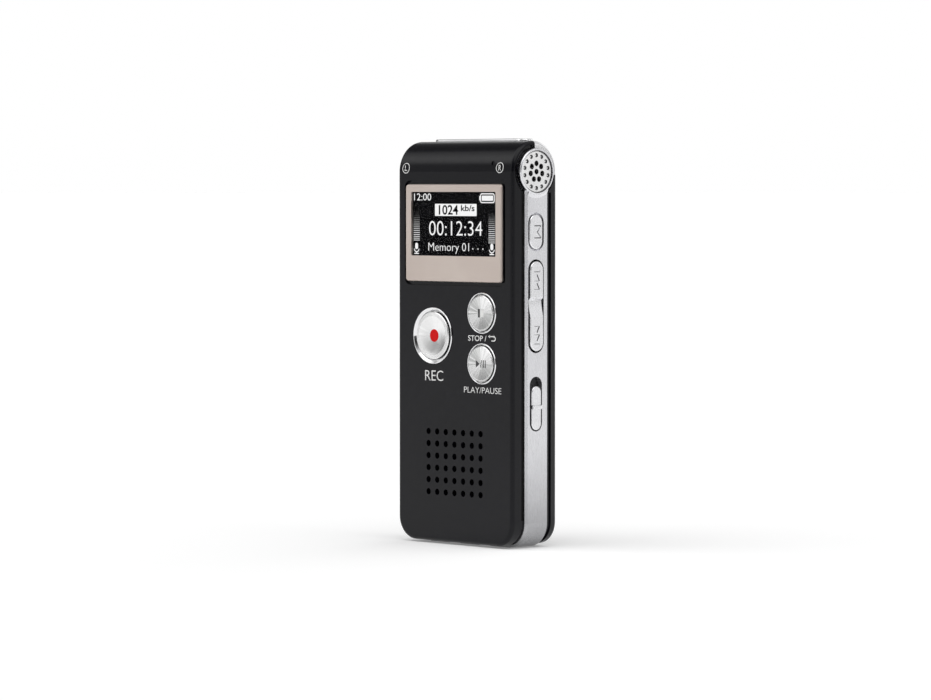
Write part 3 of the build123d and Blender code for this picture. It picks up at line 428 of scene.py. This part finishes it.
def ribbon(shape, points, width, place, thick, closed=False):
    """A thin solid line of even width through the points."""
    count = len(points)
    rails = []
    for i, (u, v) in enumerate(points):
        before = points[i - 1] if closed or i > 0 else None
        after = points[(i + 1) % count] if closed or i < count - 1 else None
        runs = []
        if before:
            runs.append(Vector((u - before[0], v - before[1])).normalized())
        if after:
            runs.append(Vector((after[0] - u, after[1] - v)).normalized())
        along = sum(runs, Vector((0, 0))).normalized()
        across = Vector((-along.y, along.x))
        side = Vector((-runs[0].y, runs[0].x))
        reach = across * (width / 2 / max(0.35, across.dot(side)))
        rails.append(((u + reach.x, v + reach.y), (u - reach.x, v - reach.y)))
    rows = [
        [shape.verts.new(place(*left, 0)), shape.verts.new(place(*right, 0)),
         shape.verts.new(place(*right, thick)), shape.verts.new(place(*left, thick))]
        for left, right in rails
    ]
    spans = count if closed else count - 1
    for i in range(spans):
        here, there = rows[i], rows[(i + 1) % count]
        for k in range(4):
            shape.faces.new((here[k], there[k], there[(k + 1) % 4], here[(k + 1) % 4]))
    if not closed:
        shape.faces.new(rows[0])
        shape.faces.new(rows[-1][::-1])


def arc(u, v, radius, start, end, steps=24):
    """Points on an arc, angles in degrees, anticlockwise from +across."""
    turn = [math.radians(start + (end - start) * i / steps) for i in range(steps + 1)]
    return [(u + radius * math.cos(a), v + radius * math.sin(a)) for a in turn]


def ring(u, v, radius, steps):
    """Points all round a circle."""
    return arc(u, v, radius, 0, 360, steps)[:-1]


def block(shape, u0, u1, v0, v1, place, thick):
    """A thin rectangular solid."""
    slab(shape, [(u0, v0), (u1, v0), (u1, v1), (u0, v1)], place, thick)


def rounded(u0, u1, v0, v1, radius, steps=6):
    """Outline of a rounded rectangle."""
    return (
        arc(u1 - radius, v1 - radius, radius, 0, 90, steps)
        + arc(u0 + radius, v1 - radius, radius, 90, 180, steps)
        + arc(u0 + radius, v0 + radius, radius, 180, 270, steps)
        + arc(u1 - radius, v0 + radius, radius, 270, 360, steps)
    )


def lettering(shape, words, u0, u1, v0, v1, place, thick, weight=0.0):
    """Solid letters that fill the box u0..u1 across and v0..v1 up."""
    text = bpy.data.curves.new("lettering", "FONT")
    text.body = words
    text.size = 1.0
    text.extrude = 0.5
    text.offset = weight
    text.resolution_u = 4
    holder = bpy.data.objects.new("lettering", text)
    mesh = bpy.data.meshes.new_from_object(holder)
    spots = [point.co.copy() for point in mesh.vertices]
    low = Vector(min(spot[k] for spot in spots) for k in range(3))
    high = Vector(max(spot[k] for spot in spots) for k in range(3))
    for point in mesh.vertices:
        u = u0 + (point.co.x - low.x) / (high.x - low.x) * (u1 - u0)
        v = v0 + (point.co.y - low.y) / (high.y - low.y) * (v1 - v0)
        w = (point.co.z - low.z) / (high.z - low.z) * thick
        point.co = place(u, v, w)
    shape.from_mesh(mesh)
    bpy.data.objects.remove(holder)
    bpy.data.curves.remove(text)
    bpy.data.meshes.remove(mesh)


# ---------------------------------------------------------------- the picture on the display
view_width = 28.9                                # the opening in the bezel
view_tall = 14.97
view_border_top = 1.835                          # the bezel above it
view_left = -view_width / 2 - 0.3                # the picture sits a little to the left
view_top = corner_mm("display_bezel", 1).z - view_border_top
pixel_thick = 0.015
picture_y = corner_mm("display_panel", 0).y - 0.004


def across(part):
    """Place at a share of the display's width, from its left edge."""
    return view_left + part * view_width


def down(part):
    """Place at a share of the display's height, from its top edge."""
    return view_top - part * view_tall


def microphone_mark(shape, place, middle, low, high):
    """Small microphone: a capsule in a cradle, on a stem and foot."""
    tall = high - low
    half = 0.19 * tall
    capsule = rounded(middle - half, middle + half, low + 0.42 * tall, high, half * 0.98)
    cradle = arc(middle, low + 0.52 * tall, 0.33 * tall, 190, 350, 12)
    stem = [(middle, low + 0.19 * tall), (middle, low + 0.05 * tall)]
    foot = [(middle - 0.3 * tall, low + 0.04 * tall), (middle + 0.3 * tall, low + 0.04 * tall)]
    slab(shape, capsule, place, pixel_thick)
    ribbon(shape, cradle, 0.09 * tall, place, pixel_thick)
    ribbon(shape, stem, 0.10 * tall, place, pixel_thick)
    ribbon(shape, foot, 0.09 * tall, place, pixel_thick)


def build_picture(shape):
    place = on_front(picture_y)
    # clock, elapsed time and state: the words, the share of the display that they fill, their weight
    for words, left, right, low, high, weight in (
        ("12:00", 0.025, 0.23, 0.135, 0.025, -0.004),
        ("00:12:34", 0.205, 0.835, 0.682, 0.455, -0.008),
        ("Memory 01", 0.197, 0.680, 0.965, 0.795, -0.012),
    ):
        box = (across(left), across(right), down(low), down(high))
        lettering(shape, words, *box, place, pixel_thick, weight)
    for part in (0.725, 0.785, 0.842):
        slab(shape, arc(across(part), down(0.885), 0.17, 0, 330, 11), place, pixel_thick)
    # battery: outline, filling and the nub at its left end
    left, right, low, high = across(0.815), across(0.975), down(0.165), down(0.03)
    ribbon(shape, rounded(left, right, low, high, 0.45), 0.26, place, pixel_thick, closed=True)
    slab(shape, rounded(left + 0.42, right - 0.42, low + 0.42, high - 0.42, 0.1), place, pixel_thick)
    slab(shape, rounded(left - 0.42, left - 0.16, low + 0.5, high - 0.5, 0.1), place, pixel_thick)
    # white label
    slab(shape, rounded(across(0.276), across(0.769), down(0.376), down(0.187), 0.15), place, pixel_thick)
    for middle in (0.055, 0.947):
        microphone_mark(shape, place, across(middle), down(0.975), down(0.80))


def build_label_digits(shape):
    place = on_front(picture_y - pixel_thick - 0.001)
    lettering(shape, "1024", across(0.322), across(0.552), down(0.358), down(0.205), place, 0.008, 0.018)
    lettering(shape, "kb/s", across(0.585), across(0.745), down(0.300), down(0.205), place, 0.008, 0.018)


def build_levels(shape):
    """Two level meters of short bars."""
    place = on_front(picture_y)
    bar_pitch = 0.0296
    bar_tall = 0.12
    for left, right, lowest in ((0.019, 0.093, 0.762), (0.908, 0.983, 0.792)):
        for i in range(16):
            v = down(lowest - i * bar_pitch)
            bar = rounded(across(left), across(right), v, v + bar_tall, 0.02, 1)
            slab(shape, bar, place, pixel_thick)


def fading_pixels():
    """The level bars fade out towards the top of the display."""
    mat = new_material("display_levels", (0.0, 0.0, 0.0), 0.4, Emission_Color=(1.0, 1.0, 1.0, 1.0))
    place = add_node(mat, "ShaderNodeTexCoord")
    parts = add_node(mat, "ShaderNodeSeparateXYZ")
    fade = add_node(mat, "ShaderNodeMapRange")
    fade.inputs["From Min"].default_value = down(0.36) * MM
    fade.inputs["From Max"].default_value = down(0.66) * MM
    fade.inputs["To Min"].default_value = 0.0
    fade.inputs["To Max"].default_value = 1.1
    wire_up(mat, place.outputs["Object"], parts.inputs["Vector"])
    wire_up(mat, parts.outputs["Z"], fade.inputs["Value"])
    wire_up(mat, fade.outputs["Result"], principled(mat, "Emission Strength"))
    return mat


pixel_white = lit_pixels("display_pixels", (1.0, 1.0, 1.0), 1.0)
piece("display_picture", build_picture, "casing", pixel_white)
piece("display_levels", build_levels, "casing", fading_pixels())
piece("display_label_digits", build_label_digits, "casing", finishes["display_dark"])

# ---------------------------------------------------------------- printed legends, dark fills and painted shade
front_y = corner_mm("front_cover", 0).y
frame_front_y = -3.15                            # front edge of the mid frame
ink_thick = 0.02
fill_thick = 0.03
mark_depth = 0.15                                # of the marks sunk in the side controls
seek_mark_lifts = ((6.15, 1), (-6.9, -1))        # middle of each mark above the rocker's, and its way up
channel_z = 88.2                                 # the circled channel letters
channel_r = 1.16
channel_line = 0.17
dimple_depth = 0.3                               # the ring of dimples in each microphone grille
dimple_count = 14
dimple_ring_r = 3.8
seam_depth = 0.4                                 # the groove between the front cover and the mid frame
seam_width = 1.1
seam_top = 82.3
icon_floor = 0.345                               # floor of a cap's sunk mark, behind its front edge


def build_legends(shape):
    flat = on_front(front_y + 0.005)
    lettering(shape, "REC", -10.1, -3.85, 38.3, 40.75, flat, ink_thick, -0.003)
    lettering(shape, "STOP /", 4.7, 10.9, 48.0, 49.3, flat, ink_thick, 0.008)
    # return arrow
    ribbon(shape, [(11.9, 49.15), (13.4, 49.15)] + arc(13.4, 48.65, 0.5, 90, -90, 10) + [(12.6, 48.15)],
           0.26, flat, ink_thick)
    slab(shape, [(11.45, 49.15), (12.1, 48.78), (12.1, 49.52)], flat, ink_thick)
    lettering(shape, "PLAY/PAUSE", 3.3, 15.9, 35.9, 37.3, flat, ink_thick, -0.006)


def build_channel_marks(shape):
    """L and R, each in a circle, on the curve above the display."""
    wrapped = on_nose()
    for x, letter in ((-16.8, "L"), (15.3, "R")):
        ribbon(shape, ring(x, channel_z, channel_r, 40), channel_line, wrapped, ink_thick, closed=True)
        box = (x - 0.42, x + 0.42, channel_z - 0.62, channel_z + 0.62)
        lettering(shape, letter, *box, wrapped, ink_thick, 0.01)


def build_menu_mark(shape):
    """Dark fill of the M engraved in the menu button."""
    floor_x = corner_mm("menu_button", 1).x - mark_depth
    middle = (corner_mm("menu_button", 0).z + corner_mm("menu_button", 1).z) / 2
    path = ((-0.6, -1.4), (1.5, -1.4), (0.3, 0.0), (1.5, 1.4), (-0.6, 1.4))
    ribbon(shape, [(u, middle + v) for u, v in path], 0.22, on_side(floor_x), fill_thick)


def build_seek_shade(shape):
    """Painted shade: dark lines along the edges of the sunk triangles and bars of the rocker."""
    floor_x = corner_mm("seek_rocker", 1).x - mark_depth
    middle = (corner_mm("seek_rocker", 0).z + corner_mm("seek_rocker", 1).z) / 2
    place = on_side(floor_x)
    for lift, way in seek_mark_lifts:
        for foot, tip in ((-2.35, -0.6), (-0.4, 1.35)):
            low_v = middle + lift + way * (foot + 0.1)
            high_v = middle + lift + way * (tip - 0.15)
            ribbon(shape, [(0.80, low_v), (0.04, high_v)], 0.17, place, fill_thick)
            ribbon(shape, [(-0.78, low_v), (0.74, low_v)], 0.09, place, fill_thick)
        bar = middle + lift + way * 1.82
        ribbon(shape, [(-0.8, bar), (0.8, bar)], 0.14, place, fill_thick)


def disc_face(name, side):
    """Outer face of a disc in a microphone head, and its middle: x, y and z."""
    low, high = corner_mm(name, 0), corner_mm(name, 1)
    return (high.x if side > 0 else low.x), (low.y + high.y) / 2, (low.z + high.z) / 2


def build_grille_shadows(side):
    """Painted shade in the grille's dimples and in the gap round its edge."""
    face_x, y, z = disc_face("mic_grille_right" if side > 0 else "mic_grille_left", side)

    def build(shape):
        floor = on_side(face_x - side * (dimple_depth - 0.005))
        for i in range(dimple_count):
            turn = math.radians(90 + i * 360 / dimple_count)
            spot = (y + dimple_ring_r * math.cos(turn), z + dimple_ring_r * math.sin(turn))
            ribbon(shape, ring(*spot, 0.34, 18), 0.30, floor, side * ink_thick, closed=True)
        gap = on_side(face_x + side * 0.003)
        ribbon(shape, ring(y, z, 4.74, 72), 0.16, gap, side * ink_thick, closed=True)

    return build


def cap_middle(name):
    """Middle of a button cap, and the depth of the floor of the mark sunk in it."""
    low, high = corner_mm(name, 0), corner_mm(name, 1)
    return (low.x + high.x) / 2, (low.z + high.z) / 2, low.y + icon_floor


# Painted shadow: a dark strip along the left of the floor of the sunk stop mark.
def build_stop_shadow(shape):
    x, z, floor_y = cap_middle("stop_button")
    block(shape, x - 0.97, x - 0.5, z - 0.97, z + 0.97, on_front(floor_y), ink_thick)


# Painted highlight: pale paint over the rest of the floor of the sunk stop mark.
def build_stop_highlight(shape):
    x, z, floor_y = cap_middle("stop_button")
    block(shape, x - 0.48, x + 0.97, z - 0.97, z + 0.97, on_front(floor_y), ink_thick)


# Painted shadow: a dark triangle and dark bars on the floor of the sunk play mark.
def build_play_shadow(shape):
    x, z, floor_y = cap_middle("play_button")
    place = on_front(floor_y)
    slab(shape, [(x - 1.67, z - 0.82), (x - 0.55, z), (x - 1.67, z + 0.82)], place, ink_thick)
    for foot, top, width in ((-0.22, 0.26, 0.16), (0.8, 0.8, 0.26), (1.5, 1.5, 0.26)):
        ribbon(shape, [(x + foot, z - 0.85), (x + top, z + 0.85)], width, place, ink_thick)


def build_felt(side):
    """A felt disc in the mouth of a rubber boot, over the capsule."""
    face_x, y, z = disc_face("mic_capsule_right" if side > 0 else "mic_capsule_left", side)

    def build(shape):
        place = on_side(face_x + side * 0.01)
        slab(shape, ring(y, z, 2.9, 48), place, side * 0.09)

    return build


def build_seam_shade(shape):
    """Painted shade: matt black sheets on the floor of the grooves in front of the mid frame, on both
    sides.
    """
    floor_x = corner_mm("front_cover", 1).x - seam_depth + 0.01
    low = corner_mm("front_cover", 0).z + 6.0
    y0, y1 = frame_front_y - seam_width + 0.03, frame_front_y - 0.03
    for side in (1, -1):
        block(shape, y0, y1, low, seam_top, on_side(side * floor_x), side * fill_thick)


dark_fill_and_painted_shade = engraving_ink_and_painted_shade()
felt_and_seam_shade = felt()
white_ink_and_painted_highlight = legend_ink()
# the stop and play mark shadows, the rocker's dark lines, the seam sheets and the grille rings are
# painted shade; the stop mark's pale square is a painted highlight
piece("menu_mark", build_menu_mark, "menu_key", dark_fill_and_painted_shade)
piece("seek_mark_shade", build_seek_shade, "seek_key", dark_fill_and_painted_shade)
piece("stop_mark_shadow", build_stop_shadow, "stop_key", dark_fill_and_painted_shade)
piece("play_mark_shadow", build_play_shadow, "play_key", dark_fill_and_painted_shade)
piece("stop_mark_painted_highlight", build_stop_highlight, "stop_key", white_ink_and_painted_highlight)
piece("seam_painted_shade", build_seam_shade, "casing", felt_and_seam_shade)
piece("mic_grille_shadows_right", build_grille_shadows(1), "casing", dark_fill_and_painted_shade)
piece("mic_grille_shadows_left", build_grille_shadows(-1), "casing", dark_fill_and_painted_shade)
piece("mic_felt_right", build_felt(1), "casing", felt_and_seam_shade)
piece("mic_felt_left", build_felt(-1), "casing", felt_and_seam_shade)
piece("button_legends", build_legends, "casing", white_ink_and_painted_highlight)
piece("channel_marks", build_channel_marks, "casing", white_ink_and_painted_highlight)


# ---------------------------------------------------------------- floor, light and camera
room_level = 0.9
# azimuth, elevation, outer and inner radius of a card in degrees, and how it scales the room's light
room_cards = (
    (47.0, 0.0, 56.0, 30.0, 0.05),
    (-50.0, 0.0, 62.0, 25.0, 0.62),
    (-82.0, 5.0, 24.0, 14.0, 0.35),
    (-47.0, 42.0, 26.0, 12.0, 2.0),
    (-30.0, -38.0, 26.0, 12.0, 0.3),
    (133.0, 0.0, 45.0, 20.0, 0.50),
    (178.0, 8.0, 34.0, 14.0, 1.6),
    (-3.0, 12.0, 24.0, 10.0, 1.7),
    (227.0, 1.0, 15.0, 9.0, 0.05),
    (-102.0, 42.0, 36.0, 18.0, 0.15),
)


def heading(azimuth, elevation):
    """Unit vector towards a side, in degrees: azimuth 0 is in front and 90 on the right."""
    turn, lift = math.radians(azimuth), math.radians(elevation)
    return Vector((math.sin(turn) * math.cos(lift), -math.cos(turn) * math.cos(lift), math.sin(lift)))


def make_floor():
    floor_mesh = bpy.data.meshes.new("floor")
    reach = 100.0           # metres
    corners = [(-reach, -reach, 0), (reach, -reach, 0), (reach, reach, 0), (-reach, reach, 0)]
    floor_mesh.from_pydata(corners, [], [(0, 1, 2, 3)])
    floor = bpy.data.objects.new("floor", floor_mesh)
    mat = new_material("floor_white", (0.90, 0.90, 0.90), 0.9, Specular_IOR_Level=0.0,
                       Emission_Color=(1, 1, 1, 1), Emission_Strength=0.19)
    floor_mesh.materials.append(mat)
    bpy.context.scene.collection.objects.link(floor)


def make_world():
    """Pale studio: white to the camera, and for light a soft room with a few pale and dark cards."""
    world = bpy.data.worlds.new("studio")
    world.use_nodes = True
    tree = world.node_tree
    tree.nodes.clear()
    place = tree.nodes.new("ShaderNodeTexCoord")
    level = tree.nodes.new("ShaderNodeValue")
    level.outputs[0].default_value = room_level
    strength = level.outputs[0]
    for azimuth, elevation, outer, inner, factor in room_cards:
        towards = tree.nodes.new("ShaderNodeVectorMath")
        towards.operation = "DOT_PRODUCT"
        towards.inputs[1].default_value = heading(azimuth, elevation)
        card = tree.nodes.new("ShaderNodeMapRange")
        card.interpolation_type = "SMOOTHSTEP"
        card.inputs["From Min"].default_value = math.cos(math.radians(outer))
        card.inputs["From Max"].default_value = math.cos(math.radians(inner))
        card.inputs["To Min"].default_value = 1.0
        card.inputs["To Max"].default_value = factor
        times = tree.nodes.new("ShaderNodeMath")
        times.operation = "MULTIPLY"
        tree.links.new(place.outputs["Generated"], towards.inputs[0])
        tree.links.new(towards.outputs["Value"], card.inputs["Value"])
        tree.links.new(strength, times.inputs[0])
        tree.links.new(card.outputs["Result"], times.inputs[1])
        strength = times.outputs[0]
    room = tree.nodes.new("ShaderNodeBackground")
    seen = tree.nodes.new("ShaderNodeBackground")
    seen.inputs["Color"].default_value = (1, 1, 1, 1)
    seen.inputs["Strength"].default_value = 1.0
    path = tree.nodes.new("ShaderNodeLightPath")
    choose = tree.nodes.new("ShaderNodeMixShader")
    out = tree.nodes.new("ShaderNodeOutputWorld")
    tree.links.new(strength, room.inputs["Strength"])
    tree.links.new(path.outputs["Is Camera Ray"], choose.inputs["Fac"])
    tree.links.new(room.outputs["Background"], choose.inputs[1])
    tree.links.new(seen.outputs["Background"], choose.inputs[2])
    tree.links.new(choose.outputs["Shader"], out.inputs["Surface"])
    bpy.context.scene.world = world


def make_sun(name, azimuth, elevation, strength, angle):
    """A broad, soft lamp, which shines from a side given as for heading."""
    lamp = bpy.data.lights.new(name, "SUN")
    lamp.energy = strength
    lamp.angle = math.radians(angle)
    item = bpy.data.objects.new(name, lamp)
    item.rotation_euler = heading(azimuth, elevation).to_track_quat("Z", "Y").to_euler()
    bpy.context.scene.collection.objects.link(item)


def make_panel(name, spot, aim, size, power):
    """A small square soft box near the recorder. Positions are in metres."""
    lamp = bpy.data.lights.new(name, "AREA")
    lamp.energy = power
    lamp.size = size
    item = bpy.data.objects.new(name, lamp)
    item.location = spot
    item.rotation_euler = (Vector(spot) - Vector(aim)).to_track_quat("Z", "Y").to_euler()
    item.visible_camera = False
    bpy.context.scene.collection.objects.link(item)


def make_camera():
    """Long lens, level with the recorder and turned towards its side."""
    distance = 0.98606      # metres
    aim = Vector((-1.763, -1.947, 45.523)) * MM
    back = heading(46.908, 2.187)
    lens = bpy.data.cameras.new("camera")
    lens.sensor_width = 36.0
    lens.lens = 162.41
    lens.clip_end = 1000.0
    camera = bpy.data.objects.new("camera", lens)
    camera.location = aim + back * distance
    camera.rotation_euler = back.to_track_quat("Z", "Y").to_euler()
    bpy.context.scene.collection.objects.link(camera)
    bpy.context.scene.camera = camera


make_floor()
make_world()
make_sun("key", 70.0, 50.0, 0.9, 60.0)
make_sun("fill", -40.0, 50.0, 0.5, 60.0)
make_panel("side_light", (0.27, 0.23, 0.17), (0.02, 0.0, 0.085), 0.15, 0.04)
make_camera()
bpy.context.scene.view_settings.view_transform = "Standard"
